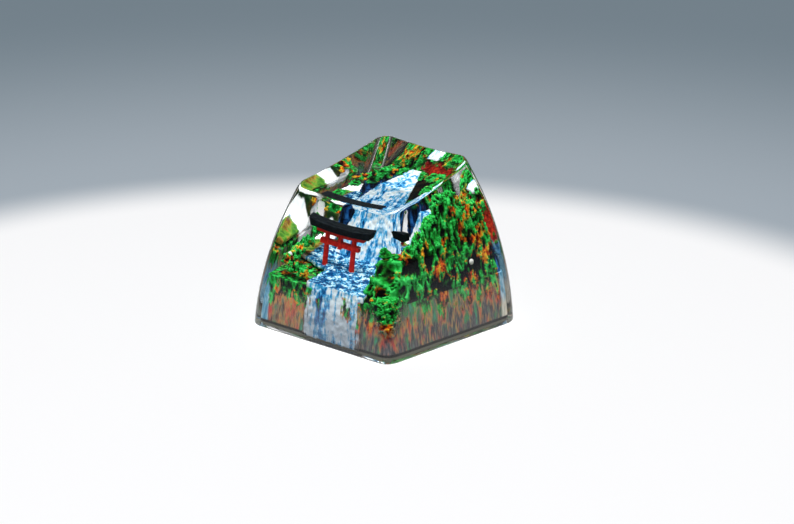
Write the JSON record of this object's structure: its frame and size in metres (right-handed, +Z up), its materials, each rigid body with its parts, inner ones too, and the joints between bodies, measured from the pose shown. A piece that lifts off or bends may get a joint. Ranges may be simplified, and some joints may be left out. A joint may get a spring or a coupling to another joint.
{
  "type": "artisan keycap",
  "caption": "Tall clear resin keycap with a dished top and a cross socket, holding a sealed gorge scene with a red gate, a waterfall and moss.",
  "frame": {"origin": "middle of the foot, on the surface it stands on", "axes": "+Z up, -Y the low front edge that faces the typist, +X to the typist's right"},
  "size_m": [0.018, 0.018, 0.0161],
  "materials": {
    "clear_resin": "polished, clear",
    "dark_resin": "cast, with painted streaks",
    "rock": "rough, dark",
    "water": "gloss, white and blue streaks",
    "red_paint": "painted red",
    "black_paint": "painted black",
    "moss": "flocked green",
    "white_bead": "smooth white"
  },
  "bodies": {
    "root": {"resin_body": "clear_resin", "base_casting": "dark_resin", "landscape": "rock", "stream": "water", "gate_frame": "red_paint", "gate_roof": "black_paint", "moss_clumps": "moss", "white_beads": "white_bead"}
  },
  "joints": []
}
